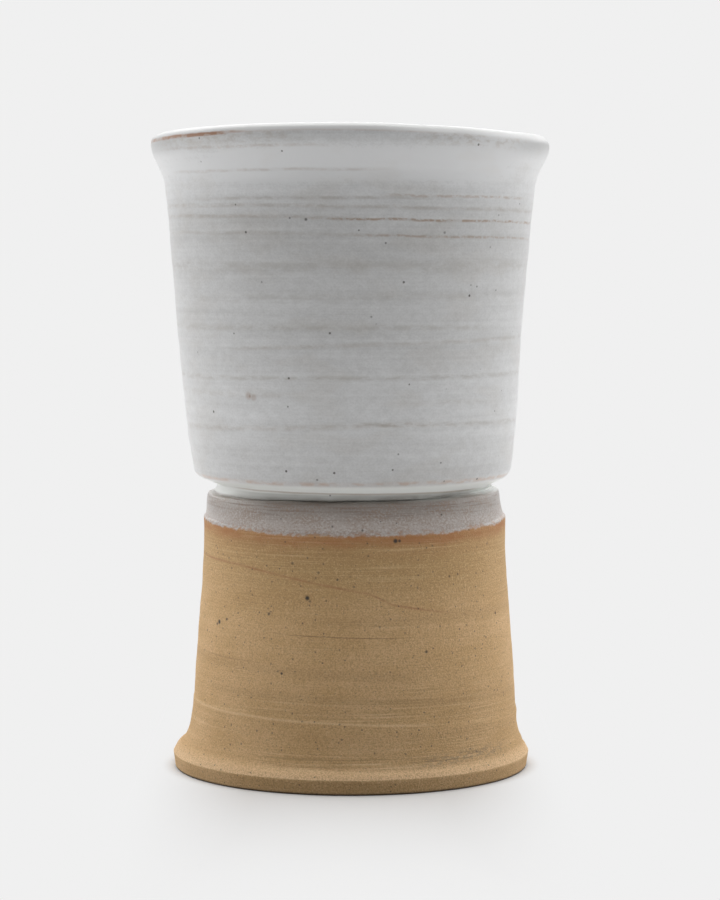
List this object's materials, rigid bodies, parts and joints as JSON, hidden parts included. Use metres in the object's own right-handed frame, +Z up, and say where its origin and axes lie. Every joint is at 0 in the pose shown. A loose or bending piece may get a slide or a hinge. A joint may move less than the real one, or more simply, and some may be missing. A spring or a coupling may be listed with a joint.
{
  "type": "goblet",
  "caption": "Hand-thrown stoneware goblet: straight-sided glazed bowl with a turned-out lip on a wide bare clay pedestal, hollow below.",
  "frame": {"origin": "middle of the standing ring, on the surface that the goblet stands on", "axes": "+Z up along the axis that the goblet was turned about; +X to the right and -Y towards the viewer, with no marked front"},
  "size_m": [0.0878, 0.0878, 0.1403],
  "materials": {
    "stoneware": "semi-matt white glaze, thin and greyish with brown breaks on the rings, over speckled buff stoneware that is left bare on the pedestal"
  },
  "bodies": {
    "root": {"goblet": "stoneware"}
  },
  "joints": []
}
